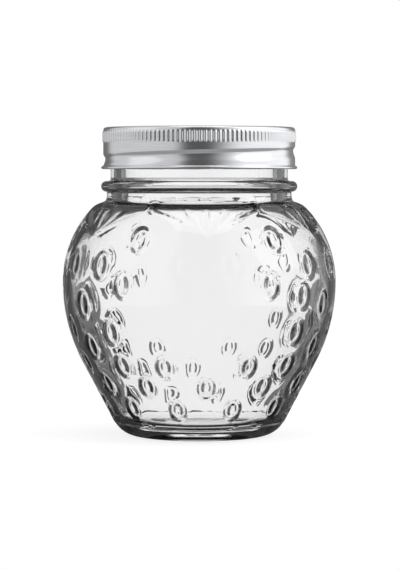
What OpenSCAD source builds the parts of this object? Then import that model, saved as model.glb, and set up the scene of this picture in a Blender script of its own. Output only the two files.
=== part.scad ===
// Jam pot: a clear glass jar shaped like a strawberry, closed by a flat sealing disc
// that a screw band holds down. The origin is on the table under the middle of the foot,
// +Z is up and the front of the jar looks along -Y.
// All lengths are in millimetres and all angles in degrees.

/* [Glass body] */
// Width across the belly at its widest ring
belly_d = 104.8; // [100:0.2:110]
// Height of the widest ring above the table
belly_z = 59; // [54:0.5:64]
// Radius of the shoulder's curve, from the widest ring up to the neck
shoulder_r = 41.2; // [39:0.2:44]
// Radius of the belly's curve below the widest ring
flank_r = 66.2; // [60:0.2:74]
// Width of the flat foot
foot_d = 48; // [44:0.5:52]
// Radius of the heel between the foot and the tapered flank
heel_r = 10; // [8:0.5:12]
// Thickness of the glass wall
wall = 3.4; // [3:0.1:4]
// Thickness of the glass floor over the table
floor_t = 4.5; // [4:0.25:5.5]
// Radius of the rounded corner between floor and wall, inside
well_r = 9; // [7:0.5:11]
// Depth of the hollow under the foot
punt_h = 1.8; // [1:0.1:2.5]
// Width of the hollow under the foot
punt_d = 38; // [34:0.5:40]

/* [Neck] */
// Width of the neck between bead and thread
neck_d = 68; // [66:0.2:70]
// Thickness of the glass in the neck
neck_t = 4; // [3.4:0.1:4.6]
// Height of the neck from the bead to the rim
neck_h = 19; // [18.5:0.1:20]
// How far the short root under the bead stands out from the neck
root_out = 1.45; // [1:0.05:2]
// Height of the root under the bead
root_h = 1.2; // [0.8:0.1:2]
// How far the bead stands out from the neck
bead_out = 3.65; // [3:0.05:4.2]
// Height of the bead
bead_h = 4.1; // [3.4:0.1:4.6]
// Radius of the rim's two edges
rim_r = 1.2; // [0.8:0.1:1.5]
// Radius of the rounded throat where the shoulder turns into the neck, inside
throat_r = 5; // [4:0.25:6]
// How far the flat ceiling under the neck lies below the neck's root, inside
throat_drop = 5.8; // [5.4:0.1:6.2]

/* [Thread] */
// Rise of the thread in one turn
thread_lead = 6.35; // [6.2:0.05:6.6]
// Height of the glass thread above the neck
thread_h = 2.2; // [2:0.05:2.4]
// Width of the glass thread at its foot
thread_foot = 3.1; // [2.8:0.1:3.2]
// Width of the glass thread at its crest
thread_crest = 1.4; // [1.2:0.1:1.6]
// Angle that the glass thread covers
thread_sweep = 450; // [420:15:450]
// Depth from the rim to the middle of the glass thread's upper end
thread_start = 3; // [2.9:0.05:3.2]
// Gap all round between the glass thread and the band
thread_gap = 0.3; // [0.25:0.05:0.4]

/* [Pips] */
// Length of the largest pip's hollow
pip_l = 12.6; // [11:0.2:13]
// Width of the largest pip's hollow
pip_w = 9; // [8:0.1:9.4]
// Depth of a pip's hollow
pip_depth = 0.7; // [0.5:0.05:0.9]
// Length of the seed that stands in the largest hollow
seed_l = 8.6; // [8:0.2:9.6]
// Width of the seed that stands in the largest hollow
seed_w = 4.4; // [4:0.1:5]
// Height of a seed over the bottom of its hollow
seed_h = 0.7; // [0.5:0.05:0.9]

/* [Leaves] */
// Height of the leaf tips above the table
leaf_tip_z = 74.6; // [73:0.2:76]
// How far the leaves drop below the shoulder's skin where they meet the neck
leaf_drop = 2; // [1.6:0.1:2.4]
// Radius of the leaves' own curve, from neck to tip
leaf_r = 35; // [32:0.5:40]
// How deep a leaf's bed lies under the skin at the tip
leaf_step = 0.4; // [0.3:0.05:0.5]
// How far a leaf's side edge bows outward
leaf_bow = 1.4; // [1:0.1:1.8]

/* [Screw band] */
// Height of the band
band_h = 16; // [15.6:0.1:16.4]
// Thickness of the tinplate
band_t = 0.3; // [0.25:0.05:0.35]
// Width of the hole in the band's top
band_hole_d = 59; // [56:0.5:61]
// Radius of the band's rounded top edge
band_edge_r = 1.2; // [1:0.1:1.4]
// Height of the ribbed grip
grip_h = 4.4; // [4:0.1:4.8]
// Number of ribs round the grip
grip_ribs = 130; // [120:2:140]
// How far the ribs stand out
grip_out = 0.3; // [0.2:0.05:0.4]
// Thickness of the rolled lip at the band's lower edge
lip_h = 1.2; // [1:0.1:1.4]
// How far the rolled lip stands out from the band
lip_out = 0.8; // [0.6:0.05:0.9]
// Depth of the thread rolled into the band
roll_h = 0.9; // [0.85:0.05:1]
// Width of the thread rolled into the band
roll_w = 3.4; // [3.2:0.1:3.6]
// Angle that the rolled thread covers
roll_sweep = 450; // [420:15:465]

/* [Sealing disc] */
// Thickness of the disc's tinplate
disc_t = 0.25; // [0.2:0.05:0.3]
// Thickness of the soft ring under the disc
ring_t = 0.8; // [0.6:0.05:1]
// Gap under the ring and over the disc, so that the lid lifts and the band turns freely
seat_gap = 0.1; // [0.08:0.01:0.2]
// How far the disc's edge reaches past the neck
disc_out = 0.9; // [0.8:0.05:1]
// How far the disc's edge turns down
disc_edge_h = 0.7; // [0.5:0.05:0.8]
// How far the disc's middle panel lies below its border
panel_drop = 0.9; // [0.7:0.05:1.1]
// Width of the raised button in the middle of the disc
button_d = 22; // [18:0.5:26]
// Height of the raised button
button_h = 0.5; // [0.4:0.05:0.6]

/* [Hidden] */
$fn = 96;

// How far a cut runs past the surface it cuts
over = 1;

// Body: the centres of its three curves and the straight taper between the lower two
belly_r = belly_d / 2;
shoulder_x = belly_r - shoulder_r;
flank_x = belly_r - flank_r;
foot_r = foot_d / 2;
taper_run = [flank_x - foot_r, belly_z - heel_r];
taper_tilt = atan2(taper_run[1], taper_run[0]) - acos((heel_r - flank_r) / norm(taper_run));
taper_dir = [cos(taper_tilt), sin(taper_tilt)];
taper_top = [flank_x, belly_z] + flank_r * taper_dir;
taper_end = [foot_r, heel_r] + heel_r * taper_dir;

// Neck: every height is stacked on the shoulder
neck_r = neck_d / 2;
mouth_r = neck_r - neck_t;
root_r = neck_r + root_out;
root_z = belly_z + sqrt(pow(shoulder_r, 2) - pow(root_r - shoulder_x, 2));
bead_z = root_z + root_h + bead_h / 2;
bead_r = neck_r + bead_out;
rim_z = root_z + root_h + bead_h + neck_h;

// Cavity: the body's curves moved inward by the wall, with a rounded well at the floor
// and a flat ceiling and a rounded throat under the neck
inner_top = [flank_x, belly_z] + (flank_r - wall) * taper_dir;
well_z = floor_t + well_r;
well_x = inner_top[0] - ((well_z - inner_top[1]) * taper_dir[1] + well_r) / taper_dir[0];
inner_end = [well_x, well_z] + well_r * taper_dir;
ceiling_z = root_z - throat_drop;
throat_x = mouth_r + throat_r;
throat_z = ceiling_z + throat_r;

// Under the foot: a shallow round hollow, part of a sphere
punt_ball_r = (pow(punt_d / 2, 2) + pow(punt_h, 2)) / (2 * punt_h);

// Lid: sealing ring on the rim, disc on the ring, band's flange on the disc
ring_z = rim_z + seat_gap;
border_z = ring_z + ring_t;
disc_top = border_z + disc_t;
lid_top = disc_top + seat_gap + band_t;
band_low = lid_top - band_h;
skirt_r = neck_r + thread_h + thread_gap + band_t;
collar_wall = band_t + thread_gap / 3;
grip_root = skirt_r + grip_out / 6;
grip_top = lid_top - band_edge_r - band_t;
grip_low = grip_top - grip_h;
lip_top = band_low + lip_h;

// Threads: both follow one helix; the rolled one runs under the glass one
thread_top_z = rim_z - thread_start;
thread_side = (thread_foot + roll_w) / 3;
thread_bury = neck_t / 4;
thread_steps = 90;
thread_ramp = 24;
thread_turn = 480;
roll_top_z = thread_top_z - thread_side - (thread_turn - roll_sweep) * thread_lead / 360;
skirt_steps = 96;
skirt_rows = 16;

// Leaves: six pointed beds round the neck, each meeting its neighbours halfway
leaf_count = 6;
leaf_pitch = 360 / leaf_count;
leaf_tip_r = skin_r(leaf_tip_z);
leaf_low_z = leaf_tip_z - leaf_drop;
leaf_neck = [root_r, root_z - leaf_drop];
leaf_chord = [leaf_tip_r - leaf_step, leaf_tip_z] - leaf_neck;
leaf_half = norm(leaf_chord) / 2;
leaf_back = sqrt(pow(leaf_r, 2) - pow(leaf_half, 2));
leaf_side = [leaf_chord[1], -leaf_chord[0]] / norm(leaf_chord);
leaf_mid = leaf_neck + leaf_chord / 2 + leaf_back * leaf_side;
leaf_corner_share = 0.93;
leaf_notch_share = 0.95;

// Pips: height of each row as a share of the root's height, size as a share of the largest pip,
// and the row's angles from the front; each angle is used again at the back, and the middle of
// both faces stays bare
pip_shares = [
    [0.137, 0.84, [-75, -46, -16, 16, 46, 75]],
    [0.232, 0.86, [-60, -31, 0, 31, 60, 90]],
    [0.316, 0.9, [-74, -42, -19.5, 19.5, 42, 74]],
    [0.386, 0.93, [-60, 60, 90]],
    [0.452, 0.96, [-76, -44, 42, 76]],
    [0.558, 1, [-60, 60]],
    [0.597, 0.96, [44]],
    [0.646, 1, [-36, 26, 90]],
    [0.723, 1, [-68, -48, -10, 10, 48, 68]],
    [0.825, 1, [-30, 30, 90]]
];

// Radius of the body's skin at a height above the heel
function skin_r(z) =
    z > belly_z ? shoulder_x + sqrt(pow(shoulder_r, 2) - pow(z - belly_z, 2))
    : z > taper_top[1] ? flank_x + sqrt(pow(flank_r, 2) - pow(z - belly_z, 2))
    : taper_end[0] + (z - taper_end[1]) / (taper_top[1] - taper_end[1]) * (taper_top[0] - taper_end[0]);

// Angle by which the skin faces upward at a height above the heel
function skin_tilt(z) =
    z > belly_z ? asin((z - belly_z) / shoulder_r)
    : z > taper_top[1] ? asin((z - belly_z) / flank_r)
    : taper_tilt;

// A point of a circle round the axis
function polar(r, a) = [r * cos(a), r * sin(a)];

// Puts a child on the skin, its own Z along the skin's upward line and its own -Y pointing out of the glass
module on_skin(angle, z) {
    rotate([0, 0, angle])
        translate([0, -skin_r(z), z])
            rotate([-skin_tilt(z), 0, 0])
                children();
}

// A spindle: a slice of a circle's segment turned round Z, wide in the middle and narrower to both ends
module spindle(half_w, bow_r, half_l) {
    rotate_extrude()
        intersection() {
            translate([half_w - bow_r, 0])
                circle(bow_r);
            translate([0, -half_l])
                square([half_w + bow_r, 2 * half_l]);
        }
}

// Outline of the body's half section, from foot to neck root
module body_section() {
    intersection() {
        translate([shoulder_x, belly_z])
            circle(shoulder_r);
        translate([0, belly_z])
            square([belly_r + over, root_z - belly_z]);
    }
    intersection() {
        translate([flank_x, belly_z])
            circle(flank_r);
        translate([0, taper_top[1]])
            square([belly_r + over, belly_z - taper_top[1]]);
    }
    polygon([[0, taper_end[1]], taper_end, taper_top, [0, taper_top[1]]]);
    intersection() {
        union() {
            translate([foot_r, heel_r])
                circle(heel_r);
            square([foot_r, heel_r]);
        }
        square([belly_r, taper_end[1]]);
    }
}

// Outline of the neck's half section, with its bead and rounded rim
module neck_section() {
    translate([0, ceiling_z - wall])
        square([root_r, bead_z - ceiling_z + wall]);
    translate([bead_r - bead_h / 2, bead_z])
        circle(bead_h / 2);
    translate([0, bead_z - bead_h / 2])
        square([bead_r - bead_h / 2, bead_h]);
    translate([0, bead_z])
        square([neck_r, rim_z - rim_r - bead_z]);
    translate([0, rim_z - rim_r - over])
        square([neck_r - rim_r, rim_r + over]);
    translate([neck_r - rim_r, rim_z - rim_r])
        circle(rim_r);
}

// Outline of the cavity's half section, floor to mouth
module cavity_section() {
    intersection() {
        union() {
            translate([well_x, well_z])
                circle(well_r);
            translate([0, floor_t])
                square([well_x, well_r]);
        }
        translate([0, floor_t])
            square([belly_r, inner_end[1] - floor_t]);
    }
    polygon([[0, inner_end[1]], inner_end, inner_top, [0, inner_top[1]]]);
    intersection() {
        translate([flank_x, belly_z])
            circle(flank_r - wall);
        translate([0, inner_top[1]])
            square([belly_r, belly_z - inner_top[1]]);
    }
    intersection() {
        translate([shoulder_x, belly_z])
            circle(shoulder_r - wall);
        translate([0, belly_z])
            square([belly_r, ceiling_z - belly_z]);
    }
    difference() {
        translate([0, ceiling_z])
            square([throat_x, throat_r]);
        translate([throat_x, throat_z])
            circle(throat_r);
    }
    translate([0, belly_z])
        square([mouth_r, rim_z - belly_z + over]);
    difference() {
        translate([0, rim_z - rim_r])
            square([mouth_r + rim_r, rim_r + over]);
        translate([mouth_r + rim_r, rim_z - rim_r])
            circle(rim_r);
    }
}

// Plan of one leaf, its tip along +X
module leaf_plan() {
    corner = polar(root_r + (leaf_tip_r - root_r) / 2, leaf_pitch / 2 * leaf_corner_share);
    notch = polar(root_r / leaf_notch_share, leaf_pitch / 2);
    tip = [leaf_tip_r, 0];
    run = corner - tip;
    bow = [run[1], -run[0]] / norm(run) * leaf_bow;
    edge = [for (i = [0:8]) tip + run * i / 8 + bow * (1 - pow(i / 4 - 1, 2))];
    back = [for (i = [8:-1:1]) [edge[i][0], -edge[i][1]]];
    polygon(concat([[0, 0]], [[notch[0], -notch[1]]], back, edge, [notch]));
}

// The space over the leaf beds, which the leaves are cut from
module leaf_cuts() {
    intersection() {
        translate([0, 0, leaf_low_z])
            linear_extrude(root_z - leaf_low_z + over)
                for (i = [0:leaf_count - 1])
                    rotate(i * leaf_pitch - 90)
                        leaf_plan();
        rotate_extrude()
            difference() {
                translate([0, leaf_low_z - over])
                    square([belly_r, root_z - leaf_low_z + 2 * over]);
                translate(leaf_mid)
                    circle(leaf_r);
            }
    }
}

// The hollows of all the pips
module pip_hollows() {
    for (row = pip_shares, angle = row[2], turn = [0, 180]) {
        half_w = pip_w * row[1] / 2;
        half_l = pip_l * row[1] / 2;
        cross_r = 1 / (2 * pip_depth / pow(half_w, 2) - 1 / belly_r);
        bow_r = 1 / (2 * pip_depth / pow(half_l, 2) - 1 / belly_r);
        on_skin(angle + turn, row[0] * root_z)
            translate([0, pip_depth - cross_r, 0])
                spindle(cross_r, bow_r, half_l + pip_w / 2);
    }
}

// The seeds in the hollows
module pip_seeds() {
    for (row = pip_shares, angle = row[2], turn = [0, 180]) {
        half_w = seed_w * row[1] / 2;
        half_l = seed_l * row[1] / 2;
        cross_r = (pow(half_w, 2) + pow(seed_h, 2)) / (2 * seed_h);
        bow_r = (pow(half_l, 2) + pow(seed_h, 2)) / (2 * seed_h);
        on_skin(angle + turn, row[0] * root_z)
            translate([0, pip_depth - seed_h + cross_r, 0])
                spindle(cross_r, bow_r, half_l + seed_h / 2);
    }
}

// The raised thread round the neck, rising to the right as seen from outside
module neck_thread() {
    rings = [for (i = [0:thread_steps])
        let (
            a = thread_turn - thread_sweep * (1 - i / thread_steps),
            z = thread_top_z - (thread_turn - a) * thread_lead / 360,
            near_end = min(i, thread_steps - i) * thread_sweep / thread_steps,
            crest_r = neck_r - thread_bury + (thread_h + thread_bury) * min(1, near_end / thread_ramp),
            foot_r = neck_r - 2 * thread_bury
        )
        each [
            concat(polar(foot_r, a), z - thread_foot / 2),
            concat(polar(crest_r, a), z - thread_crest / 2),
            concat(polar(crest_r, a), z + thread_crest / 2),
            concat(polar(foot_r, a), z + thread_foot / 2)
        ]
    ];
    last = 4 * thread_steps;
    sides = [for (i = [0:thread_steps - 1], k = [0:3])
        let (
            p = 4 * i + k,
            q = 4 * i + (k + 1) % 4
        )
        each [[p, q, p + 4], [q, q + 4, p + 4]]
    ];
    caps = [[0, 2, 1], [0, 3, 2], [last, last + 1, last + 2], [last, last + 2, last + 3]];
    polyhedron(rings, concat(sides, caps));
}

// The glass jar
module glass_jar() {
    color([0.86, 0.9, 0.9, 0.5])
        difference() {
            union() {
                difference() {
                    rotate_extrude()
                        body_section();
                    leaf_cuts();
                    pip_hollows();
                    translate([0, 0, punt_h - punt_ball_r])
                        sphere(punt_ball_r);
                }
                pip_seeds();
                rotate_extrude()
                    neck_section();
                neck_thread();
            }
            rotate_extrude()
                cavity_section();
        }
}

// The flat tinplate disc that closes the mouth
module sealing_disc() {
    edge_r = neck_r + disc_out;
    panel_r = mouth_r - 2 * panel_drop;
    border_r = mouth_r - panel_drop;
    button_r = button_d / 2;
    panel_z = disc_top - panel_drop;
    color([0.8, 0.8, 0.81])
        rotate_extrude()
            polygon([
                [0, panel_z + button_h - disc_t],
                [button_r - button_h, panel_z + button_h - disc_t],
                [button_r, panel_z - disc_t],
                [panel_r, panel_z - disc_t],
                [border_r, disc_top - disc_t],
                [edge_r - disc_t, disc_top - disc_t],
                [edge_r - disc_t, disc_top - disc_edge_h],
                [edge_r, disc_top - disc_edge_h],
                [edge_r, disc_top],
                [border_r - disc_t / 2, disc_top],
                [panel_r - disc_t / 2, panel_z],
                [button_r + disc_t / 2, panel_z],
                [button_r - button_h + disc_t / 2, panel_z + button_h],
                [0, panel_z + button_h]
            ]);
}

// The soft ring bonded under the disc's border
module sealing_ring() {
    color([0.62, 0.62, 0.6])
        rotate_extrude()
            translate([mouth_r, ring_z])
                square([neck_t, ring_t]);
}

// Plan of the ribbed grip
module grip_plan() {
    difference() {
        polygon([for (i = [0:4 * grip_ribs - 1])
            polar(grip_root + grip_out * (1 - cos(90 * i)) / 2, 90 * i / grip_ribs)
        ]);
        circle(skirt_r - collar_wall / 2);
    }
}

// The band's threaded skirt: one thin wall whose helical groove stands inward as the rolled thread
module skirt() {
    low_z = band_low + lip_h / 2;
    high_z = grip_low + grip_h / 4;
    per_side = skirt_steps * (skirt_rows + 1);
    walls = [for (side = [0, 1], j = [0:skirt_rows], i = [0:skirt_steps - 1])
        let (
            a = 360 * i / skirt_steps,
            z = low_z + (high_z - low_z) * j / skirt_rows,
            r = skirt_r - side * band_t - roll_h * roll_share(a, z)
        )
        concat(polar(r, a), z)
    ];
    sides = [for (j = [0:skirt_rows - 1], i = [0:skirt_steps - 1])
        let (
            p = j * skirt_steps + i,
            q = j * skirt_steps + (i + 1) % skirt_steps
        )
        each [
            [p, p + skirt_steps, q],
            [q, p + skirt_steps, q + skirt_steps],
            [p + per_side, q + per_side, p + skirt_steps + per_side],
            [q + per_side, q + skirt_steps + per_side, p + skirt_steps + per_side]
        ]
    ];
    ends = [for (i = [0:skirt_steps - 1])
        let (
            p = i,
            q = (i + 1) % skirt_steps,
            t = skirt_rows * skirt_steps
        )
        each [
            [p, q, p + per_side],
            [q, q + per_side, p + per_side],
            [t + p, t + p + per_side, t + q],
            [t + q, t + p + per_side, t + q + per_side]
        ]
    ];
    polyhedron(walls, concat(sides, ends));
}

// How deep the rolled thread is at a place on the skirt, as a share of its full depth
function roll_share(a, z) =
    max([for (lap = [0:2])
        let (
            turn = a + 360 * lap,
            off = abs(z - roll_top_z - (turn - roll_sweep) * thread_lead / 360),
            near_end = min(turn, roll_sweep - turn),
            fade = max(0, min(1, near_end / thread_ramp)),
            edge = max(0, min(1, min(z - lip_top, grip_low - z) / (lip_h / 2)))
        )
        off < roll_w / 2 ? fade * edge * (1 + cos(360 * off / roll_w)) / 2 : 0
    ]);

// The tinplate screw band
module screw_band() {
    collar_r = skirt_r + grip_out / 12;
    edge_x = collar_r - band_edge_r;
    lip_x = skirt_r + lip_out - lip_h / 2;
    color([0.74, 0.74, 0.76])
        union() {
            rotate_extrude() {
                translate([band_hole_d / 2, lid_top - band_t])
                    square([edge_x - band_hole_d / 2, band_t]);
                translate([edge_x, lid_top - band_edge_r])
                    intersection() {
                        difference() {
                            circle(band_edge_r);
                            circle(band_edge_r - band_t);
                        }
                        square(band_edge_r);
                    }
                translate([skirt_r - collar_wall, grip_low])
                    square([collar_r - skirt_r + collar_wall, lid_top - band_edge_r - grip_low]);
                translate([skirt_r - collar_wall, band_low])
                    square([lip_x - skirt_r + collar_wall, lip_h]);
                intersection() {
                    translate([lip_x, band_low + lip_h / 2])
                        circle(lip_h / 2);
                    translate([lip_x, band_low])
                        square(lip_h);
                }
            }
            translate([0, 0, grip_low])
                linear_extrude(grip_h)
                    grip_plan();
            skirt();
        }
}

glass_jar();
sealing_disc();
sealing_ring();
screw_band();
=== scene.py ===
"""Jam pot: a strawberry-shaped glass jar, a sealing disc with its soft ring, and a screw band.

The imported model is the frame. Each class of the pot holds one piece, or the disc with its ring. Its
fields are the real sizes in millimetres and degrees, and its methods turn the section on a lathe,
press the relief and dress the piece. The studio holds the room, the cards, the lamps and the camera.
"""

import logging
import math
from dataclasses import dataclass
from enum import Enum
from typing import ClassVar, NamedTuple

import bpy
import numpy as np
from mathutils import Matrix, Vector


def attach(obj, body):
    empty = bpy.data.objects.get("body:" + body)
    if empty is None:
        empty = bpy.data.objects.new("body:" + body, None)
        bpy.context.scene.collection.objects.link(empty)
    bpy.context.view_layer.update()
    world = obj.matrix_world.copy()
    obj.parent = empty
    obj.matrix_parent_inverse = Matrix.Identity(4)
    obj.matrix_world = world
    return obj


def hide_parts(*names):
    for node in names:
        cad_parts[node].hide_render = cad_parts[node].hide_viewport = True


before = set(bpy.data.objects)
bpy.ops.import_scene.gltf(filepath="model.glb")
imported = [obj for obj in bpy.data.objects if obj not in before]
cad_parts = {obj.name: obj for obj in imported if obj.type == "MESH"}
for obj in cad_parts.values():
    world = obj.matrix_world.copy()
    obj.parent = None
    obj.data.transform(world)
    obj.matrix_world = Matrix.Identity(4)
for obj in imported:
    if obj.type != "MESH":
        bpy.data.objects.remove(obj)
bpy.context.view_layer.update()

LOG = logging.getLogger("jam_pot")
MM = 0.001
MERGE_MM = 0.002  # points nearer to each other are one
TOUCH_MM = 0.1  # points nearer to a face lie on it
LEAST_WEIGHT = 1e-4  # smaller shares of a relief are left out

Point = tuple[float, float]
Outline = list[Point]
Array = np.ndarray
Piece = bpy.types.Object


class Body(Enum):
    """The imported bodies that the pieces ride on."""

    JAR = "jar"
    SEAL = "seal"
    BAND = "band"


class Side(Enum):
    """The two faces of a thin sheet, with the sign of their outward displacement."""

    OUTER = 1
    INNER = -1


# Outlines


def arc(centre: Point, radius: float, start: float, end: float, count: int) -> Outline:
    """Points along a circle.

    Args:
        centre: Middle of the circle, as radius and height.
        radius: Radius of the circle.
        start: First angle in degrees, from the outward direction.
        end: Last angle in degrees.
        count: Number of steps.

    Returns:
        The points, both ends included.
    """
    angles = [math.radians(start + (end - start) * i / count) for i in range(count + 1)]
    return [(centre[0] + radius * math.cos(a), centre[1] + radius * math.sin(a)) for a in angles]


def line(start: Point, end: Point, count: int) -> Outline:
    """Points along a straight run.

    Args:
        start: First point.
        end: Last point.
        count: Number of steps.

    Returns:
        The points, both ends included.
    """
    shares = [i / count for i in range(count + 1)]
    return [(start[0] + (end[0] - start[0]) * s, start[1] + (end[1] - start[1]) * s) for s in shares]


def bend(start: Point, corner: Point, end: Point, count: int) -> Outline:
    """Points along a soft corner.

    Args:
        start: Point where the bend begins.
        corner: The sharp corner that is rounded off.
        end: Point where the bend ends.
        count: Number of steps.

    Returns:
        The points of a parabola through both ends, tangent to both legs.
    """
    points: Outline = []
    for i in range(count + 1):
        t = i / count
        a, b, c = (1 - t) ** 2, 2 * t * (1 - t), t**2
        r, z = (a * p + b * q + c * s for p, q, s in zip(start, corner, end))
        points.append((r, z))
    return points


def chain(*runs: Outline) -> Outline:
    """Joins runs of points and drops those that repeat.

    Args:
        *runs: The runs in order.

    Returns:
        One outline.
    """
    points: Outline = []
    for point in (p for run in runs for p in run):
        if not points or math.dist(point, points[-1]) > MERGE_MM:
            points.append(point)
    return points


# Modelling


def lathe(name: str, outline: Outline, steps: int, closed: bool) -> Piece:
    """Turns a half section round the pot's axis.

    Args:
        name: Name of the new piece.
        outline: The half section in millimetres, as radius and height.
        steps: Number of steps in the full turn.
        closed: True for a section that closes on itself, False for one that ends on the axis.

    Returns:
        The turned piece, its faces outward and smooth.
    """
    bpy.ops.object.select_all(action="DESELECT")
    bpy.ops.mesh.primitive_circle_add(vertices=len(outline), fill_type="NOTHING")
    piece = bpy.context.object
    piece.name = piece.data.name = name
    points = np.array([(r, 0.0, z) for r, z in outline]) * MM
    piece.data.vertices.foreach_set("co", points.ravel())
    if not closed:
        ends = {0, len(outline) - 1}
        for edge in piece.data.edges:
            edge.select = set(edge.vertices) == ends
        for vertex in piece.data.vertices:
            vertex.select = vertex.index in ends
    bpy.context.tool_settings.mesh_select_mode = (False, True, False)
    bpy.ops.object.mode_set(mode="EDIT")
    if not closed:
        bpy.ops.mesh.delete(type="EDGE")
    bpy.ops.mesh.select_all(action="SELECT")
    bpy.ops.mesh.spin(steps=steps, angle=math.tau, center=(0, 0, 0), axis=(0, 0, 1))
    bpy.ops.mesh.select_all(action="SELECT")
    bpy.ops.mesh.remove_doubles(threshold=MERGE_MM * MM)
    bpy.ops.mesh.normals_make_consistent(inside=False)
    bpy.ops.object.mode_set(mode="OBJECT")
    bpy.ops.object.shade_smooth()
    return piece


def places(piece: Piece, faces: bool = False) -> tuple[Array, Array, Array]:
    """Cylinder coordinates of a piece's points, or of the middles of its faces.

    Args:
        piece: The piece.
        faces: True for the faces' middles, False for the points.

    Returns:
        Radius and height in millimetres, and the angle from the front in degrees, to the right.
    """
    source, key = (piece.data.polygons, "center") if faces else (piece.data.vertices, "co")
    flat = np.zeros(len(source) * 3)
    source.foreach_get(key, flat)
    x, y, z = flat.reshape(-1, 3).T / MM
    return np.hypot(x, y), z, np.degrees(np.arctan2(x, -y))


def refine(piece: Piece, wanted: Array, cuts: int) -> None:
    """Divides some faces of a piece finely, where a relief needs it.

    Args:
        piece: The piece.
        wanted: True for each face that is divided.
        cuts: Number of cuts across each edge.
    """
    bpy.ops.object.mode_set(mode="EDIT")
    bpy.ops.mesh.select_all(action="DESELECT")
    bpy.ops.object.mode_set(mode="OBJECT")
    bpy.context.tool_settings.mesh_select_mode = (False, False, True)
    piece.data.polygons.foreach_set("select", wanted)
    bpy.ops.object.mode_set(mode="EDIT")
    bpy.ops.mesh.subdivide(number_cuts=cuts)
    bpy.ops.object.mode_set(mode="OBJECT")


def press(piece: Piece, name: str, weights: Array, depth: float, way: str = "NORMAL") -> None:
    """Moves the weighted points of a piece, as a mould presses a relief.

    Args:
        piece: The piece.
        name: Name of the relief.
        weights: Share of the full depth at each point, from 0 to 1.
        depth: Full depth in millimetres, positive along the way.
        way: Direction of the displacement.
    """
    group = piece.vertex_groups.new(name=name)
    for index in np.flatnonzero(weights > LEAST_WEIGHT):
        group.add([int(index)], float(weights[index]), "REPLACE")
    relief = piece.modifiers.new(name, "DISPLACE")
    relief.vertex_group = name
    relief.direction = way
    relief.mid_level = 0
    relief.strength = depth * MM
    bpy.context.view_layer.objects.active = piece
    bpy.ops.object.modifier_apply(modifier=relief.name)
    piece.vertex_groups.remove(piece.vertex_groups[name])


def smooth(value: Array) -> Array:
    """Eases a share from 0 to 1, flat at both ends."""
    share = np.clip(value, 0, 1)
    return share * share * (3 - 2 * share)


def wrap(angle: Array, pitch: float) -> Array:
    """Brings angles into one pitch round zero, from minus half of it to plus half of it."""
    return (angle + pitch / 2) % pitch - pitch / 2


def laps(angle: Array) -> list[Array]:
    """Angles from the right side, toward the back, on each of the three laps that a thread can reach."""
    return [(angle - 90) % 360 + 360 * lap for lap in range(3)]


# Finishes


def linear(code: str) -> tuple[float, float, float, float]:
    """Turns an sRGB hex colour into linear light."""
    shares = [int(code[i : i + 2], 16) / 255 for i in (0, 2, 4)]
    return (*(s / 12.92 if s <= 0.04045 else ((s + 0.055) / 1.055) ** 2.4 for s in shares), 1.0)


def grey(level: float) -> tuple[float, float, float, float]:
    """A neutral colour of some brightness, in linear light."""
    return (level, level, level, 1.0)


def add_node(
    tree: bpy.types.NodeTree, kind: str, inputs: dict | None = None, **settings: object
) -> bpy.types.Node:
    """Adds a node with its settings and links.

    Args:
        tree: The node tree.
        kind: The node's type, without the prefix of all shader nodes.
        inputs: Value, socket or node for each input, by name or number; a node gives its first output.
        **settings: Properties of the node.

    Returns:
        The new node.
    """
    made = tree.nodes.new("ShaderNode" + kind)
    for key, value in settings.items():
        setattr(made, key, value)
    for key, value in (inputs or {}).items():
        value = value.outputs[0] if isinstance(value, bpy.types.Node) else value
        if isinstance(value, bpy.types.NodeSocket):
            tree.links.new(value, made.inputs[key])
        else:
            made.inputs[key].default_value = value
    return made


def new_material(name: str) -> tuple[bpy.types.Material, bpy.types.NodeTree]:
    """Makes an empty node material and returns it with its tree."""
    material = bpy.data.materials.new(name)
    material.use_nodes = True
    material.node_tree.nodes.clear()
    return material, material.node_tree


@dataclass(frozen=True)
class Glass:
    """Pressed and fire-polished soda-lime glass: clear and glossy, with a slow ripple from the mould."""

    name: str = "clear_soda_lime_glass"
    tint: str = "FFFFFF"
    ior: float = 1.52
    ripple_mm: float = 9.0
    ripple_depth_mm: float = 0.02

    def make(self) -> bpy.types.Material:
        """Builds the glass: a clear body whose reflections and edges waver a little."""
        material, tree = new_material(self.name)
        where = add_node(tree, "TexCoord").outputs["Object"]
        scale = 1 / (self.ripple_mm * MM)
        ripple = add_node(tree, "TexNoise", {"Vector": where, "Scale": scale, "Detail": 1.0})
        depth = self.ripple_depth_mm * MM
        bump = add_node(tree, "Bump", {"Height": ripple, "Strength": 1.0, "Distance": depth})
        look = {
            "Base Color": linear(self.tint),
            "Roughness": 0.0,
            "IOR": self.ior,
            "Transmission Weight": 1.0,
            "Normal": bump,
        }
        shader = add_node(tree, "BsdfPrincipled", look)
        add_node(tree, "OutputMaterial", {"Surface": shader})
        return material


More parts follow.
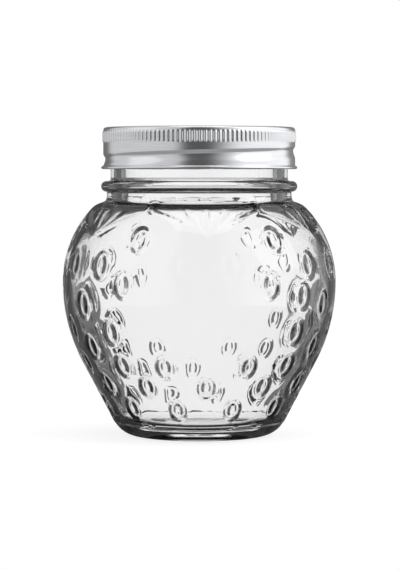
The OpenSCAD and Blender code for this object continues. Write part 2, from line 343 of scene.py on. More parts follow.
@dataclass(frozen=True)
class Tinplate:
    """Cold-rolled tinplate: satin silver with faint rolling lines that run round the piece."""

    name: str
    light: str
    dark: str
    roughness: float
    grain_mm: float = 0.5
    grain_depth_mm: float = 0.004
    grain_stretch: float = 0.04
    cloud_mm: float = 11.0
    gloss_span: tuple[float, float] = (-0.05, 0.08)

    def make(self) -> bpy.types.Material:
        """Builds the metal: tone, gloss and bump follow the rolling lines, the gloss a slow cloud too."""
        material, tree = new_material(self.name)
        where = add_node(tree, "TexCoord").outputs["Object"]
        stretch = (self.grain_stretch, self.grain_stretch, 1.0)
        along = add_node(tree, "Mapping", {"Vector": where, "Scale": stretch})
        noises = ((along, self.grain_mm, 3.0), (where, self.cloud_mm, 2.0))
        grain, cloud = (
            add_node(tree, "TexNoise", {"Vector": at, "Scale": 1 / (size * MM), "Detail": fine})
            for at, size, fine in noises
        )
        blend = add_node(tree, "Math", {0: grain, 1: cloud}, operation="MULTIPLY")
        shades = {"Factor": grain, "A": linear(self.dark), "B": linear(self.light)}
        tone = add_node(tree, "Mix", shades, data_type="RGBA").outputs["Result"]
        sharp, dull = (self.roughness + span for span in self.gloss_span)
        gloss = add_node(tree, "MapRange", {"Value": blend, "To Min": sharp, "To Max": dull})
        depth = self.grain_depth_mm * MM
        bump = add_node(tree, "Bump", {"Height": grain, "Strength": 0.6, "Distance": depth})
        look = {"Base Color": tone, "Metallic": 1.0, "Roughness": gloss, "Normal": bump}
        shader = add_node(tree, "BsdfPrincipled", look)
        add_node(tree, "OutputMaterial", {"Surface": shader})
        return material


@dataclass(frozen=True)
class Compound:
    """Flowed-in sealing compound: a soft grey plastic, matt and slightly orange-peeled."""

    name: str = "sealing_compound"
    light: str = "A3A29E"
    dark: str = "8D8C88"
    roughness: float = 0.62
    peel_mm: float = 0.8
    peel_depth_mm: float = 0.03

    def make(self) -> bpy.types.Material:
        """Builds the compound: a fine peel that shows in tone and bump."""
        material, tree = new_material(self.name)
        where = add_node(tree, "TexCoord").outputs["Object"]
        scale = 1 / (self.peel_mm * MM)
        peel = add_node(tree, "TexNoise", {"Vector": where, "Scale": scale, "Detail": 2.0})
        shades = {"Factor": peel, "A": linear(self.dark), "B": linear(self.light)}
        tone = add_node(tree, "Mix", shades, data_type="RGBA").outputs["Result"]
        depth = self.peel_depth_mm * MM
        bump = add_node(tree, "Bump", {"Height": peel, "Strength": 0.4, "Distance": depth})
        look = {"Base Color": tone, "Roughness": self.roughness, "Normal": bump}
        shader = add_node(tree, "BsdfPrincipled", look)
        add_node(tree, "OutputMaterial", {"Surface": shader})
        return material


# Pieces


class PipRow(NamedTuple):
    """One row of pips on the front; each of its angles is used again at the back.

    The height is a share of the neck root's height, size and depth are shares of the largest pip's.
    """

    height: float
    size: float
    depth: float
    angles: tuple[float, ...]


@dataclass
class GlassJar:
    """The glass jar: body, neck, bead, thread, leaves and pips in one casting."""

    belly_r: float = 52.4
    belly_z: float = 59.0
    shoulder_r: float = 41.2
    flank_r: float = 66.2
    foot_r: float = 24.0
    heel_r: float = 10.0
    heel_step: float = 0.25
    wall: float = 3.4
    floor_t: float = 4.5
    well_r: float = 11.0
    punt_h: float = 1.8
    punt_r: float = 19.0
    neck_r: float = 34.0
    neck_t: float = 4.0
    neck_h: float = 19.0
    root_out: float = 1.45
    root_h: float = 1.2
    fine_turn: float = 9.0
    neck_fillet: float = 1.0
    bead_out: float = 3.65
    bead_h: float = 4.1
    rim_r: float = 1.2
    throat_r: float = 5.0
    throat_drop: float = 5.8
    thread_lead: float = 6.35
    thread_h: float = 2.2
    thread_foot: float = 3.1
    thread_crest: float = 1.4
    thread_start: float = 3.0
    thread_sweep: float = 450.0
    thread_turn: float = 480.0
    thread_ramp: float = 24.0
    pip_l: float = 12.6
    pip_w: float = 9.0
    pip_wall: float = 1.7
    pip_depth: float = 0.5
    seed_l: float = 8.6
    seed_w: float = 4.4
    seed_wall: float = 1.2
    seed_h: float = 0.45
    pip_margin: float = 1.12
    leaf_tip_z: float = 74.6
    leaf_drop: float = 2.0
    leaf_r: float = 35.0
    leaf_step: float = 0.4
    leaf_fillet: float = 2.4
    leaf_bow: float = 1.4
    leaf_edge: float = 3.3
    leaf_notch: float = 6.0
    leaf_count: int = 6
    leaf_points: int = 33
    corner_share: float = 0.93
    notch_share: float = 0.95
    leaf_margin: float = 0.8
    leaf_tip_margin: float = 1.0
    dip_h: float = 1.4
    dip_w: float = 5.0
    dip_start: float = 1.0
    dip_fade: float = 4.0
    dip_turn: float = 28.0
    dip_turn_fade: float = 6.0
    rib_h: float = 0.4
    rib_w: float = 3.6
    rib_turn: float = 15.0
    rib_tip_fade: float = 5.0
    rib_start: float = 2.0
    rib_fade: float = 4.0
    wave_h: float = 0.3
    wave_share: float = 0.45
    wave_low_fade: float = 10.0
    wave_top_fade: float = 8.0
    swell_spread: float = 1.5
    steps: int = 144

    # Waves of the inner wall: number in a turn, rise for a radian of phase, first phase, relative height
    waves: ClassVar[tuple[tuple[float, ...], ...]] = ((3, 17, 0, 1.0), (7, -9, 1, 1.0), (12, 6, 2, 0.7))
    pip_rows: ClassVar[tuple[PipRow, ...]] = (
        PipRow(0.137, 0.84, 1.0, (-75, -46, -16, 16, 46, 75)),
        PipRow(0.232, 0.86, 1.0, (-60, -31, 0, 31, 60, 90)),
        PipRow(0.316, 0.9, 1.0, (-74, -42, -19.5, 19.5, 42, 74)),
        PipRow(0.386, 0.93, 1.0, (-60, 60, 90)),
        PipRow(0.452, 0.96, 1.0, (-76, -44, 42, 76)),
        PipRow(0.558, 1.0, 1.0, (-60, 60)),
        PipRow(0.597, 0.96, 1.0, (44,)),
        PipRow(0.646, 1.0, 1.0, (-36, 26, 90)),
        PipRow(0.723, 1.0, 1.0, (-68, -48, 48, 68)),
        PipRow(0.723, 1.0, 0.4, (-10, 10)),
        PipRow(0.825, 1.0, 1.0, (-30, 30, 90)),
    )

    def __post_init__(self) -> None:
        """Works out the places that follow from the sizes."""
        self.shoulder_x = self.belly_r - self.shoulder_r
        self.flank_x = self.belly_r - self.flank_r
        run = (self.flank_x - self.foot_r, self.belly_z - self.heel_r)
        turn = math.acos((self.heel_r - self.flank_r) / math.hypot(*run))
        self.taper_tilt = math.degrees(math.atan2(run[1], run[0]) - turn)
        self.taper_way = (math.cos(math.radians(self.taper_tilt)), math.sin(math.radians(self.taper_tilt)))
        self.taper_top = self.on_taper((self.flank_x, self.belly_z), self.flank_r)
        self.taper_end = self.on_taper((self.foot_r, self.heel_r), self.heel_r)
        self.root_r = self.neck_r + self.root_out
        self.root_z = self.belly_z + math.sqrt(self.shoulder_r**2 - (self.root_r - self.shoulder_x) ** 2)
        self.bead_z = self.root_z + self.root_h + self.bead_h / 2
        self.rim_z = self.root_z + self.root_h + self.bead_h + self.neck_h
        self.mouth_r = self.neck_r - self.neck_t
        self.ceiling_z = self.root_z - self.throat_drop
        self.leaf_tip_r = float(self.skin_r(np.array(self.leaf_tip_z)))

    def on_taper(self, centre: Point, radius: float) -> Point:
        """Point of a circle where a line that runs along the taper touches it from outside."""
        return (centre[0] + radius * self.taper_way[0], centre[1] + radius * self.taper_way[1])

    def skin_r(self, z: Array) -> Array:
        """Radius of the body's skin at a height between heel and neck."""
        up = np.clip(z - self.belly_z, -self.belly_z, self.shoulder_r)
        shoulder = self.shoulder_x + np.sqrt(np.maximum(self.shoulder_r**2 - up**2, 0))
        flank = self.flank_x + np.sqrt(np.maximum(self.flank_r**2 - up**2, 0))
        slope = (self.taper_top[0] - self.taper_end[0]) / (self.taper_top[1] - self.taper_end[1])
        taper = self.taper_end[0] + (z - self.taper_end[1]) * slope
        return np.where(z > self.belly_z, shoulder, np.where(z > self.taper_top[1], flank, taper))

    def skin_run(self, z: Array) -> Array:
        """Distance along the skin from the widest ring to a height, positive upward."""
        up = z - self.belly_z
        shoulder = self.shoulder_r * np.arcsin(np.clip(up / self.shoulder_r, -1, 1))
        flank = self.flank_r * np.arcsin(np.clip(up / self.flank_r, -1, 1))
        taper = math.radians(self.taper_tilt) * self.flank_r - (self.taper_top[1] - z) / self.taper_way[0]
        return np.where(z > self.belly_z, shoulder, np.where(z > self.taper_top[1], flank, taper))

    def outer(self) -> Outline:
        """The outer half section, from the middle of the foot to the rim."""
        punt_ball = (self.punt_r**2 + self.punt_h**2) / (2 * self.punt_h)
        punt_low = math.degrees(math.atan2(punt_ball - self.punt_h, self.punt_r))
        root_tilt = math.degrees(math.asin((self.root_z - self.belly_z) / self.shoulder_r))
        bead_x = self.neck_r + self.bead_out - self.bead_h / 2
        bead_top = self.bead_z + self.bead_h / 2
        rim_x = self.neck_r - self.rim_r
        fine_tilt = root_tilt - self.fine_turn
        fillet = (self.neck_r + self.neck_fillet, bead_top + self.neck_fillet)
        return chain(
            arc((0, self.punt_h - punt_ball), punt_ball, 90, punt_low, 8),
            line((self.punt_r, 0), (self.foot_r - self.heel_step, 0), 3),
            arc((self.foot_r - self.heel_step, self.heel_r), self.heel_r, -90, self.taper_tilt, 14),
            line(self.taper_end, self.taper_top, 18),
            arc((self.flank_x, self.belly_z), self.flank_r, self.taper_tilt, 0, 24),
            arc((self.shoulder_x, self.belly_z), self.shoulder_r, 0, fine_tilt, 26),
            arc((self.shoulder_x, self.belly_z), self.shoulder_r, fine_tilt, root_tilt, 16),
            line((self.root_r, self.root_z), (self.root_r, self.root_z + self.root_h), 4),
            arc((bead_x, self.bead_z), self.bead_h / 2, -90, 90, 16),
            bend((fillet[0], bead_top), (self.neck_r, bead_top), (self.neck_r, fillet[1]), 4),
            line((self.neck_r, fillet[1]), (self.neck_r, self.rim_z - self.rim_r), 42),
            arc((rim_x, self.rim_z - self.rim_r), self.rim_r, 0, 90, 6),
        )

    def inner(self) -> Outline:
        """The inner half section, from the rim to the middle of the floor."""
        shoulder_in = self.shoulder_r - self.wall
        flank_in = self.flank_r - self.wall
        throat = (self.mouth_r + self.throat_r, self.ceiling_z + self.throat_r)
        ceiling_tilt = math.degrees(math.asin((self.ceiling_z - self.belly_z) / shoulder_in))
        ceiling_r = self.shoulder_x + shoulder_in * math.cos(math.radians(ceiling_tilt))
        taper_in = self.on_taper((self.flank_x, self.belly_z), flank_in)
        well_z = self.floor_t + self.well_r
        well_off = (well_z - taper_in[1]) * self.taper_way[1] + self.well_r
        well_x = taper_in[0] - well_off / self.taper_way[0]
        well_end = self.on_taper((well_x, well_z), self.well_r)
        return chain(
            arc((self.mouth_r + self.rim_r, self.rim_z - self.rim_r), self.rim_r, 90, 180, 6),
            line((self.mouth_r, self.rim_z - self.rim_r), (self.mouth_r, throat[1]), 8),
            arc(throat, self.throat_r, 180, 270, 14),
            line((throat[0], self.ceiling_z), (ceiling_r, self.ceiling_z), 2),
            arc((self.shoulder_x, self.belly_z), shoulder_in, ceiling_tilt, 0, 20),
            arc((self.flank_x, self.belly_z), flank_in, 0, self.taper_tilt, 16),
            line(taper_in, well_end, 8),
            arc((well_x, well_z), self.well_r, self.taper_tilt, -90, 12),
            line((well_x, self.floor_t), (0, self.floor_t), 8),
        )

    def pip_depths(self, z: Array, angle: Array, spread: float = 1.0) -> Array:
        """Depth of the pips' relief at each point of the skin.

        Args:
            z: Height of each point.
            angle: Angle of each point from the front.
            spread: Factor on the pips' outline and on their walls' width; at any but 1, seeds are left out.

        Returns:
            Depth below the skin in millimetres.
        """
        depth = np.zeros(len(z))
        skin, run = self.skin_r(z), self.skin_run(z)
        for row, middle in ((row, middle) for row in self.pip_rows for middle in row.angles):
            across = np.radians(wrap(angle - middle, 180)) * skin
            along = run - self.skin_run(np.array(row.height * self.root_z))
            near = (np.abs(across) < self.pip_w * spread) & (np.abs(along) < self.pip_l * spread)
            hollow = 1 - np.hypot(across / self.pip_w, along / self.pip_l) * 2 / (row.size * spread)
            seed = 1 - np.hypot(across / self.seed_w, along / self.seed_l) * 2 / row.size
            dish = smooth(hollow * self.pip_w / (2 * self.pip_wall * spread)) * self.pip_depth
            rise = smooth(seed * self.seed_w / (2 * self.seed_wall)) * self.seed_h * (spread == 1)
            depth = np.where(near, np.maximum(depth, (dish - rise) * row.depth), depth)
        return depth

    def leaf_inside(self, r: Array, angle: Array) -> Array:
        """How far each point lies inside the leaves' edges, seen from above.

        Args:
            r: Radius of each point.
            angle: Angle of each point from the front.

        Returns:
            Distance in millimetres, negative outside the leaves.
        """
        pitch = 360 / self.leaf_count
        half = math.radians(pitch / 2)
        corner_r, corner_a = (self.root_r + self.leaf_tip_r) / 2, half * self.corner_share
        tip = np.array([self.leaf_tip_r, 0.0])
        corner = corner_r * np.array([math.cos(corner_a), math.sin(corner_a)])
        notch = self.root_r / self.notch_share * np.array([math.cos(half), math.sin(half)])
        run = corner - tip
        bow = np.array([run[1], -run[0]]) / np.hypot(*run) * self.leaf_bow
        share = np.linspace(0, 1, self.leaf_points)[:, None]
        side = np.vstack([tip + run * share + bow * (1 - (2 * share - 1) ** 2), notch])
        edge_a, edge_r = np.arctan2(side[:, 1], side[:, 0]), np.hypot(side[:, 0], side[:, 1])
        turn = np.radians(np.abs(wrap(angle, pitch)))
        at = np.interp(turn, edge_a, edge_r)
        slope = np.interp(turn, edge_a, np.gradient(edge_r, edge_a)) / np.maximum(at, 1)
        return (at - r) / np.sqrt(1 + slope**2)

    def on_skin(self, r: Array, z: Array) -> Array:
        """True for points of the body's outer skin, from the heel up to the neck's root."""
        inside = (z > self.taper_end[1] - TOUCH_MM) & (z < self.root_z + TOUCH_MM)
        return inside & (np.abs(r - self.skin_r(z)) < self.wall / 3)

    def settle(self, piece: Piece) -> None:
        """Puts the points that the refining added back on the skin's true curve."""
        r, z, angle = places(piece)
        true_r = np.where(self.on_skin(r, z), self.skin_r(z), r)
        turn = np.radians(angle)
        flat = np.stack([true_r * np.sin(turn), -true_r * np.cos(turn), z], axis=1) * MM
        piece.data.vertices.foreach_set("co", flat.ravel())
        piece.data.update()

    def leaf_z(self, r: Array) -> Array:
        """Height of a leaf's bed at a radius: a round bed with a fillet where it meets the neck."""
        neck = np.array([self.root_r, self.root_z - self.leaf_drop])
        tip = np.array([self.leaf_tip_r - self.leaf_step, self.leaf_tip_z])
        chord = tip - neck
        half = np.hypot(*chord) / 2
        side = np.array([chord[1], -chord[0]]) / (2 * half)
        mid = neck + chord / 2 + side * math.sqrt(self.leaf_r**2 - half**2)
        fillet_r = self.root_r + self.leaf_fillet
        reach = self.leaf_r + self.leaf_fillet
        fillet_z = mid[1] + math.sqrt(reach**2 - (fillet_r - mid[0]) ** 2)
        meet_r = mid[0] + (fillet_r - mid[0]) * self.leaf_r / reach
        bed = mid[1] + np.sqrt(np.maximum(self.leaf_r**2 - (r - mid[0]) ** 2, 0))
        fillet = fillet_z - np.sqrt(np.maximum(self.leaf_fillet**2 - (fillet_r - r) ** 2, 0))
        return np.where(r < meet_r, fillet, bed)

    def press_leaves(self, piece: Piece) -> None:
        """Lets the leaves' beds down into the shoulder, with a hollow along the side leaves' edges."""
        r, z, angle = places(piece)
        on_root = (z > self.root_z) & (z < self.root_z + self.root_h)
        on_root &= np.abs(r - self.root_r) < TOUCH_MM
        bed = np.where(self.on_skin(r, z) & (z > self.leaf_tip_z), z - self.leaf_z(r), 0)
        root = self.root_z - self.leaf_z(np.array(self.root_r))
        drop = np.where(on_root, root * (1 - (z - self.root_z) / self.root_h), bed)
        groove = (self.root_r + self.leaf_notch - r) / self.leaf_notch
        reach = self.leaf_inside(r, angle)
        inside = smooth(np.maximum(reach / self.leaf_edge, groove))
        dip = smooth(reach / self.dip_w) * np.clip(2 - reach / self.dip_w, 0, 1) * (bed > 0)
        dip *= smooth((r - self.root_r - self.dip_start) / self.dip_fade)
        dip *= smooth((np.abs(wrap(angle, 180)) - self.dip_turn) / self.dip_turn_fade)
        depth = np.clip(drop, 0, None) * inside + self.dip_h * dip
        press(piece, "leaves", depth / depth.max(), -depth.max(), "Z")

    def rib_share(self, r: Array, angle: Array) -> Array:
        """Height of the leaves' ribs at each point as a share of the tallest; negative far from a rib."""
        turn = np.abs(wrap(angle, 360 / self.leaf_count))
        spread = self.rib_turn * np.clip((self.leaf_tip_r - r) / (self.leaf_tip_r - self.root_r), 0, 1)
        off = np.minimum(turn, np.abs(turn - spread))
        return 1 - 2 * np.radians(off) * r / self.rib_w

    def press_ribs(self, piece: Piece) -> None:
        """Raises the middle rib and the two side ribs of every leaf, which run together at the tip."""
        r, z, angle = places(piece)
        near = (z > self.leaf_tip_z) & (z < self.root_z) & (r > self.skin_r(z) - self.wall)
        ends = smooth((self.leaf_tip_r - r) / self.rib_tip_fade)
        ends *= smooth((r - self.root_r - self.rib_start) / self.rib_fade)
        rib = np.clip(self.rib_share(r, angle), 0, 1) * ends * near
        press(piece, "leaf_ribs", rib, self.rib_h)

    def press_pips(self, piece: Piece) -> None:
        """Presses the pips' hollows round their seeds."""
        r, z, angle = places(piece)
        skin = self.on_skin(r, z)
        depth = self.pip_depths(z, angle)
        press(piece, "pips", np.clip(depth, 0, None) / self.pip_depth * skin, -self.pip_depth)

    def press_waves(self, piece: Piece) -> None:
        """Gives the inner wall the slow waves that blowing leaves, and a swell behind each pip."""
        r, z, angle = places(piece)
        inner = (r < self.skin_r(z) - self.wall / 2) & (z < self.ceiling_z)
        fade = smooth((z - self.floor_t - self.well_r / 3) / self.wave_low_fade)
        fade *= smooth((self.ceiling_z - z) / self.wave_top_fade)
        turn = np.radians(angle)
        wave = sum(h * np.sin(count * turn + z / rise + phase) for count, rise, phase, h in self.waves)
        wave = (wave / sum(row[-1] for row in self.waves) + 1) / 2
        swell = self.pip_depths(z, angle, self.swell_spread) / self.pip_depth
        level = wave * self.wave_share + swell * (1 - self.wave_share)
        press(piece, "inner_waves", level * inner * fade, self.wave_h)

    def press_thread(self, piece: Piece) -> None:
        """Raises the thread round the neck."""
        r, z, angle = places(piece)
        on_neck = np.abs(r - self.neck_r) < TOUCH_MM
        top_z = self.rim_z - self.thread_start
        start = self.thread_turn - self.thread_sweep
        slope_h = (self.thread_foot - self.thread_crest) / 2
        height = np.zeros(len(z))
        for turn in laps(angle):
            middle = top_z - (self.thread_turn - turn) * self.thread_lead / 360
            fade = smooth(np.minimum(turn - start, self.thread_turn - turn) / self.thread_ramp)
            flank = smooth((self.thread_foot / 2 - np.abs(z - middle)) / slope_h)
            height = np.maximum(height, flank * fade)
        press(piece, "thread", height * on_neck, self.thread_h)

    def build(self) -> Piece:
        """Turns the jar, presses its relief and dresses it in clear glass."""
        piece = lathe("jam_jar", chain(self.outer(), self.inner()), self.steps, closed=False)
        r, z, angle = places(piece, faces=True)
        near_pip = self.pip_depths(z, angle, self.pip_margin) > 0
        refine(piece, near_pip & self.on_skin(r, z), cuts=3)
        r, z, angle = places(piece, faces=True)
        edge = self.leaf_inside(r, angle)
        near_leaf = (edge > -self.leaf_margin) & (edge < self.leaf_edge)
        near_leaf |= (edge > 0) & (self.rib_share(r, angle) > 0)
        near_leaf &= (z > self.leaf_tip_z - self.leaf_tip_margin) & (z < self.root_z - TOUCH_MM)
        refine(piece, near_leaf & self.on_skin(r, z), cuts=1)
        self.settle(piece)
        self.press_pips(piece)
        self.press_waves(piece)
        self.press_leaves(piece)
        self.press_ribs(piece)
        self.press_thread(piece)
        piece.data.materials.append(Glass().make())
        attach(piece, Body.JAR.value)
        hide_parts("glass_jar")
        return piece


@dataclass
class ScrewBand:
    """The tinplate screw band: flange, ribbed grip, skirt with its rolled thread, rolled lip."""

    top_z: float = 118.157
    height: float = 16.0
    sheet: float = 0.3
    hole_r: float = 29.5
    skirt_r: float = 36.8
    edge_r: float = 1.2
    grip_h: float = 4.4
    grip_ribs: int = 130
    grip_out: float = 0.3
    grip_slope: float = 0.6
    grip_fade: float = 0.5
    lip_h: float = 1.2
    lip_out: float = 0.8
    lip_fillet: float = 0.3
    roll_h: float = 0.8
    roll_up: float = 1.9
    roll_down: float = 3.4
    roll_sweep: float = 450.0
    roll_ramp: float = 24.0
    roll_top_z: float = 110.911
    lead: float = 6.35
    steps_per_rib: int = 8

    def __post_init__(self) -> None:
        """Works out the heights that follow from the sizes."""
        self.low_z = self.top_z - self.height
        self.grip_top = self.top_z - self.edge_r - self.sheet
        self.grip_low = self.grip_top - self.grip_h
        self.lip_top = self.low_z + self.lip_h

    def outline(self) -> Outline:
        """The sheet's closed half section, outer face first."""
        edge = (self.skirt_r - self.edge_r, self.top_z - self.edge_r)
        inner_r = self.skirt_r - self.sheet
        lip = (self.skirt_r + self.lip_out - self.lip_h / 2, self.low_z + self.lip_h / 2)
        fillet_z = self.lip_top + self.lip_fillet
        return chain(
            line((self.hole_r, self.top_z), (edge[0], self.top_z), 3),
            arc(edge, self.edge_r, 90, 0, 6),
            line((self.skirt_r, edge[1]), (self.skirt_r, self.grip_low), 12),
            line((self.skirt_r, self.grip_low), (self.skirt_r, fillet_z), 32),
            bend((self.skirt_r, fillet_z), (self.skirt_r, self.lip_top), (lip[0], self.lip_top), 3),
            arc(lip, self.lip_h / 2, 90, -90, 8),
            line((lip[0], self.low_z), (inner_r, self.low_z), 2),
            line((inner_r, self.low_z), (inner_r, self.grip_low), 12),
            line((inner_r, self.grip_low), (inner_r, edge[1]), 2),
            arc(edge, self.edge_r - self.sheet, 0, 90, 3),
            line((edge[0], self.top_z - self.sheet), (self.hole_r, self.top_z - self.sheet), 2),
        )

    def roll_share(self, z: Array, angle: Array) -> Array:
        """Depth of the rolled thread at each point, as a share of its full depth."""
        share = np.zeros(len(z))
        edge = smooth(np.minimum(z - self.lip_top, self.grip_low - z) / (self.lip_h / 2))
        for turn in laps(angle):
            off = z - self.roll_top_z - (turn - self.roll_sweep) * self.lead / 360
            reach = np.where(off > 0, self.roll_up, self.roll_down)
            fade = smooth(np.minimum(turn, self.roll_sweep - turn) / self.roll_ramp)
            wave = (1 + np.cos(math.pi * np.minimum(np.abs(off) / reach, 1))) / 2
            share = np.maximum(share, wave * fade * edge)
        return share

    def press_roll(self, piece: Piece) -> None:
        """Rolls the thread into both faces of the skirt."""
        r, z, angle = places(piece)
        off = r - self.skirt_r + self.sheet / 2
        share = self.roll_share(z, angle) * (np.abs(off) < self.sheet)
        for side in Side:
            face = off * side.value > self.sheet / 4
            press(piece, f"roll_{side.name.lower()}", share * face, -self.roll_h * side.value)

    def press_grip(self, piece: Piece) -> None:
        """Raises the ribs of the grip."""
        r, z, angle = places(piece)
        outer = np.abs(r - self.skirt_r) < self.sheet / 3
        level = np.cos(np.radians(angle * self.grip_ribs))
        rib = smooth((level + self.grip_slope) / (2 * self.grip_slope))
        ends = smooth(np.minimum(z - self.grip_low, self.grip_top - z) / self.grip_fade)
        press(piece, "grip", rib * ends * outer, self.grip_out)

    def build(self) -> Piece:
        """Turns the band, rolls its thread and grip and dresses it in satin tinplate."""
        piece = lathe("screw_band_shell", self.outline(), self.grip_ribs * self.steps_per_rib, closed=True)
        self.press_roll(piece)
        self.press_grip(piece)
        piece.data.materials.append(
            Tinplate("satin_tinplate_band", light="D3D4D6", dark="BFC0C3", roughness=0.24).make()
        )
        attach(piece, Body.BAND.value)
        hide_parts("screw_band")
        return piece


@dataclass
class SealingLid:
    """The sealing disc with its panel and button, and the soft ring flowed in under its border."""

    border_z: float = 117.507
    sheet: float = 0.25
    edge_r: float = 34.9
    edge_h: float = 0.7
    mouth_r: float = 30.0
    panel_drop: float = 0.9
    button_r: float = 11.0
    button_h: float = 0.5
    button_lean: float = 0.1
    fold: float = 0.35
    ring_w: float = 4.0
    ring_t: float = 0.8
    ring_round: float = 0.25
    steps: int = 144

    def face(self, lift: float, reach: float) -> Outline:
        """One face of the disc from its middle to its border.

        Args:
            lift: Height of the face over the underside.
            reach: How far its two slopes are moved toward each other.

        Returns:
            The face's half section.
        """
        z = self.border_z + lift
        panel = z - self.panel_drop
        border_r = self.mouth_r - self.panel_drop - reach
        panel_r = border_r - self.panel_drop
        button = panel + self.button_h
        slope_r = self.button_r - self.button_h / 2 + reach
        button_end = (self.button_r - self.button_h + reach - self.fold, button)
        panel_start = (self.button_r + reach + self.fold, panel)
        panel_end = (panel_r - self.fold, panel)
        border_start = (border_r + self.fold, z)
        button_mid = (slope_r, panel + self.button_h / 2)
        border_mid = ((panel_r + border_r) / 2, z - self.panel_drop / 2)
        return chain(
            line((0, button), button_end, 6),
            bend(button_end, (slope_r - self.button_lean, button), button_mid, 4),
            bend(button_mid, (slope_r + self.button_lean, panel), panel_start, 4),
            line(panel_start, panel_end, 8),
            bend(panel_end, (panel_r, panel), border_mid, 4),
            bend(border_mid, (border_r, z), border_start, 4),
            line(border_start, (self.edge_r - 2 * self.sheet, z), 4),
        )

    def build_disc(self) -> Piece:
        """Turns the disc and dresses it in bright tinplate."""
        top_z = self.border_z + self.sheet
        low_z = top_z - self.edge_h
        inner_r = self.edge_r - self.sheet
        curl = 2 * self.sheet
        outline = chain(
            self.face(self.sheet, self.sheet / 2),
            bend((self.edge_r - curl, top_z), (self.edge_r, top_z), (self.edge_r, top_z - curl), 4),
            line((self.edge_r, top_z - curl), (self.edge_r, low_z), 1),
            line((inner_r, low_z), (inner_r, self.border_z), 1),
            self.face(0, 0)[::-1],
        )
        piece = lathe("sealing_disc_plate", outline, self.steps, closed=False)
        piece.data.materials.append(
            Tinplate("bright_tinplate_disc", light="D6D6D5", dark="C6C6C6", roughness=0.24).make()
        )
        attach(piece, Body.SEAL.value)
        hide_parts("sealing_disc")
        return piece

    def build_ring(self) -> Piece:
        """Turns the soft ring and dresses it in sealing compound."""
        low_z = self.border_z - self.ring_t
        out_r = self.mouth_r + self.ring_w
        soft = self.ring_round
        outline = chain(
            line((self.mouth_r, self.border_z), (self.mouth_r, low_z + soft), 2),
            arc((self.mouth_r + soft, low_z + soft), soft, 180, 270, 4),
            line((self.mouth_r + soft, low_z), (out_r - soft, low_z), 6),
            arc((out_r - soft, low_z + soft), soft, 270, 360, 4),
            line((out_r, low_z + soft), (out_r, self.border_z), 2),
            line((out_r, self.border_z), (self.mouth_r, self.border_z), 6)[:-1],
        )
        piece = lathe("sealing_ring_compound", outline, self.steps, closed=True)
        piece.data.materials.append(Compound().make())
        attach(piece, Body.SEAL.value)
        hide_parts("sealing_ring")
        return piece


# Studio


class Card(NamedTuple):
    """A card: its place behind the first one, width, edges from the line of sight, and brightness."""

    behind: float
    width: float
    low: float
    high: float
    level: float


class Lamp(NamedTuple):
    """A soft box: its angles from the front and above the table, and its power in watts."""

    turn: float
    rise: float
    power: float


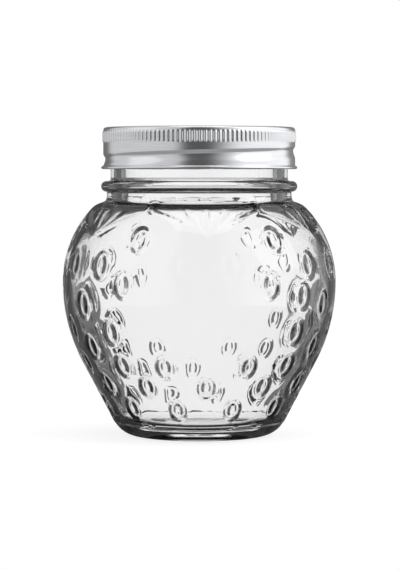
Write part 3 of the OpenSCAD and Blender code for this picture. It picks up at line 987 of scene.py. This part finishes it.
@dataclass
class Studio:
    """The room, the table, the cards behind the pot, the soft lamps and the camera."""

    eye_height: float = 100.7
    eye_distance: float = 900.0
    eye_turn: float = -3.6
    eye_tilt: float = 2.74
    aim_x: float = 0.3
    lens: float = 147.9
    table_r: float = 260.0
    card_y: float = 3000.0
    surround: float = 0.025
    ceiling: float = 0.75
    ceiling_way: tuple[float, float, float] = (0.0, 0.5, 0.866)
    ceiling_span: tuple[float, float] = (0.78, 0.95)
    table_tone: str = "8C8C8C"
    table_glow: float = 0.82
    table_gleam: float = 0.22
    card_edge: float = 0.06
    lamp_side: float = 900.0
    lamp_distance: float = 1300.0
    lamp_aim_z: float = 60.0

    cards: ClassVar[dict[str, Card]] = {
        "white_card": Card(0, 1020, -2600, 600, 1.0),
        "upper_card": Card(10, 2320, 0, 670, 1.0),
        "grey_card": Card(20, 1900, -2600, 700, 0.19),
    }
    lamps: ClassVar[dict[str, Lamp]] = {
        "soft_box_right": Lamp(turn=70, rise=30, power=3),
        "soft_box_left": Lamp(turn=-80, rise=30, power=1),
        "soft_box_top": Lamp(turn=0, rise=78, power=3),
    }
    # Brightness of the room round the pot, by the angle from the front to the right
    ring: ClassVar[tuple[tuple[float, float], ...]] = (
        (-180, 0.2),
        (-148, 0.2),
        (-130, 0.92),
        (-34, 0.92),
        (-18, 0.13),
        (4, 0.13),
        (54, 1.4),
        (124, 1.55),
        (140, 0.3),
        (180, 0.2),
    )

    def build_world(self) -> None:
        """White for the camera, dark through the glass, a ring of light under a pale ceiling elsewhere."""
        world = bpy.data.worlds.new("studio_room")
        bpy.context.scene.world = world
        world.use_nodes = True
        tree = world.node_tree
        tree.nodes.clear()
        path = add_node(tree, "LightPath").outputs
        where = add_node(tree, "TexCoord").outputs["Generated"]
        way = add_node(tree, "SeparateXYZ", {0: where})
        front = add_node(tree, "Math", {0: way.outputs["Y"], 1: -1.0}, operation="MULTIPLY")
        turn = add_node(tree, "Math", {0: way.outputs["X"], 1: front}, operation="ARCTAN2")
        circle = {"Value": turn, "From Min": -math.pi, "From Max": math.pi}
        share = add_node(tree, "MapRange", circle)
        ramp = add_node(tree, "ValToRGB", {"Fac": share})
        ramp.color_ramp.interpolation = "EASE"
        stops = ramp.color_ramp.elements
        while len(stops) < len(self.ring):
            stops.new(0.5)
        for stop, (angle, level) in zip(stops, self.ring):
            stop.position = angle / 360 + 0.5
            stop.color = grey(level)
        above = add_node(tree, "VectorMath", {0: where, 1: self.ceiling_way}, operation="DOT_PRODUCT")
        low, top = self.ceiling_span
        span = {"Value": above.outputs["Value"], "From Min": low, "From Max": top}
        high = add_node(tree, "MapRange", span, interpolation_type="SMOOTHSTEP")
        parts = {"Factor": high, "A": ramp, "B": grey(self.ceiling)}
        room = add_node(tree, "Mix", parts, data_type="RGBA")
        ring = add_node(tree, "Background", {"Color": room.outputs["Result"]})
        dark = add_node(tree, "Background", {"Color": grey(self.surround)})
        white = add_node(tree, "Background", {"Color": grey(1)})
        seen = add_node(tree, "MixShader", {0: path["Is Transmission Ray"], 1: ring, 2: dark})
        mixed = add_node(tree, "MixShader", {0: path["Is Camera Ray"], 1: seen, 2: white})
        add_node(tree, "OutputWorld", {"Surface": mixed})

    def build_floor(self) -> None:
        """A pale table that shows white and keeps a soft shadow."""
        bpy.ops.mesh.primitive_circle_add(vertices=96, radius=self.table_r * MM, fill_type="NGON")
        floor = bpy.context.object
        floor.name = "studio_table"
        material, tree = new_material("white_laminate")
        matt = add_node(tree, "BsdfDiffuse", {"Color": linear(self.table_tone)})
        path = add_node(tree, "LightPath").outputs
        seen = add_node(tree, "Math", {0: path["Is Camera Ray"], 1: self.table_glow}, operation="MULTIPLY")
        # The table glows a little in satin metal and not in clear glass
        satin = {0: path["Is Glossy Ray"], 1: path["Is Singular Ray"]}
        gleam = add_node(tree, "Math", satin, operation="SUBTRACT")
        both = {0: gleam, 1: self.table_gleam, 2: seen}
        share = add_node(tree, "Math", both, operation="MULTIPLY_ADD")
        glow = add_node(tree, "Emission", {"Color": grey(1), "Strength": share})
        mixed = add_node(tree, "AddShader", {0: matt, 1: glow})
        add_node(tree, "OutputMaterial", {"Surface": mixed})
        floor.data.materials.append(material)
        floor.visible_transmission = False

    def build_card(self, camera: bpy.types.Object, name: str) -> None:
        """A card that hangs behind the pot, opposite the camera, with soft edges.

        Args:
            camera: The camera that the card faces.
            name: Name of the card in the table of cards.
        """
        spec = self.cards[name]
        bpy.ops.mesh.primitive_plane_add(size=1)
        card = bpy.context.object
        card.name = name
        card.scale = (spec.width * MM, (spec.high - spec.low) * MM, 1)
        card.parent = camera
        away = self.eye_distance + self.card_y + spec.behind
        card.location = (0, (spec.high + spec.low) / 2 * MM, -away * MM)
        material, tree = new_material(name)
        where = add_node(tree, "TexCoord").outputs["Object"]
        place = add_node(tree, "SeparateXYZ", {0: where}).outputs
        share: bpy.types.Node | float = 1.0
        for axis in ("X", "Y"):
            off = add_node(tree, "Math", {0: place[axis]}, operation="ABSOLUTE")
            span = {"Value": off, "From Min": 0.5, "From Max": 0.5 - self.card_edge}
            edge = add_node(tree, "MapRange", span, interpolation_type="SMOOTHSTEP")
            share = add_node(tree, "Math", {0: share, 1: edge}, operation="MULTIPLY")
        glow = add_node(tree, "Emission", {"Color": grey(1), "Strength": spec.level})
        clear = add_node(tree, "BsdfTransparent")
        mixed = add_node(tree, "MixShader", {0: share, 1: clear, 2: glow})
        add_node(tree, "OutputMaterial", {"Surface": mixed})
        card.data.materials.append(material)
        card.visible_camera = card.visible_diffuse = card.visible_glossy = card.visible_shadow = False

    def build_camera(self) -> bpy.types.Object:
        """The camera, a little above the bead and to the left of the front."""
        data = bpy.data.cameras.new("photo_camera")
        data.lens = self.lens
        camera = bpy.data.objects.new("photo_camera", data)
        bpy.context.scene.collection.objects.link(camera)
        turn = math.radians(self.eye_turn)
        distance = self.eye_distance
        eye = Vector((distance * math.sin(turn), -distance * math.cos(turn), self.eye_height))
        eye += Vector((math.cos(turn), math.sin(turn), 0)) * self.aim_x
        camera.location = eye * MM
        camera.rotation_euler = (math.radians(90 - self.eye_tilt), 0, turn)
        bpy.context.scene.camera = camera
        return camera

    def build_lamp(self, name: str) -> None:
        """A square soft box that looks at the pot.

        Args:
            name: Name of the lamp in the table of lamps.
        """
        spec = self.lamps[name]
        data = bpy.data.lights.new(name, "AREA")
        data.size = self.lamp_side * MM
        data.energy = spec.power
        lamp = bpy.data.objects.new(name, data)
        bpy.context.scene.collection.objects.link(lamp)
        turn, rise = math.radians(spec.turn), math.radians(spec.rise)
        flat = math.cos(rise)
        away = Vector((math.sin(turn) * flat, -math.cos(turn) * flat, math.sin(rise)))
        lamp.location = Vector((0, 0, self.lamp_aim_z * MM)) + away * self.lamp_distance * MM
        lamp.rotation_euler = away.to_track_quat("Z", "Y").to_euler()
        lamp.visible_camera = False
        lamp.visible_transmission = False

    def build(self) -> None:
        """Sets up the whole studio."""
        bpy.context.scene.view_settings.view_transform = "Standard"
        self.build_world()
        self.build_floor()
        camera = self.build_camera()
        for name in self.cards:
            self.build_card(camera, name)
        for name in self.lamps:
            self.build_lamp(name)


def main() -> None:
    """Builds the pot piece by piece and the studio round it."""
    logging.basicConfig(level=logging.INFO, format="%(name)s: %(message)s")
    lid = SealingLid()
    for make in (GlassJar().build, ScrewBand().build, lid.build_disc, lid.build_ring):
        piece = make()
        triangles = sum(len(face.vertices) - 2 for face in piece.data.polygons)
        LOG.info("%s: %d triangles", piece.name, triangles)
    Studio().build()


if __name__ == "__main__":
    main()
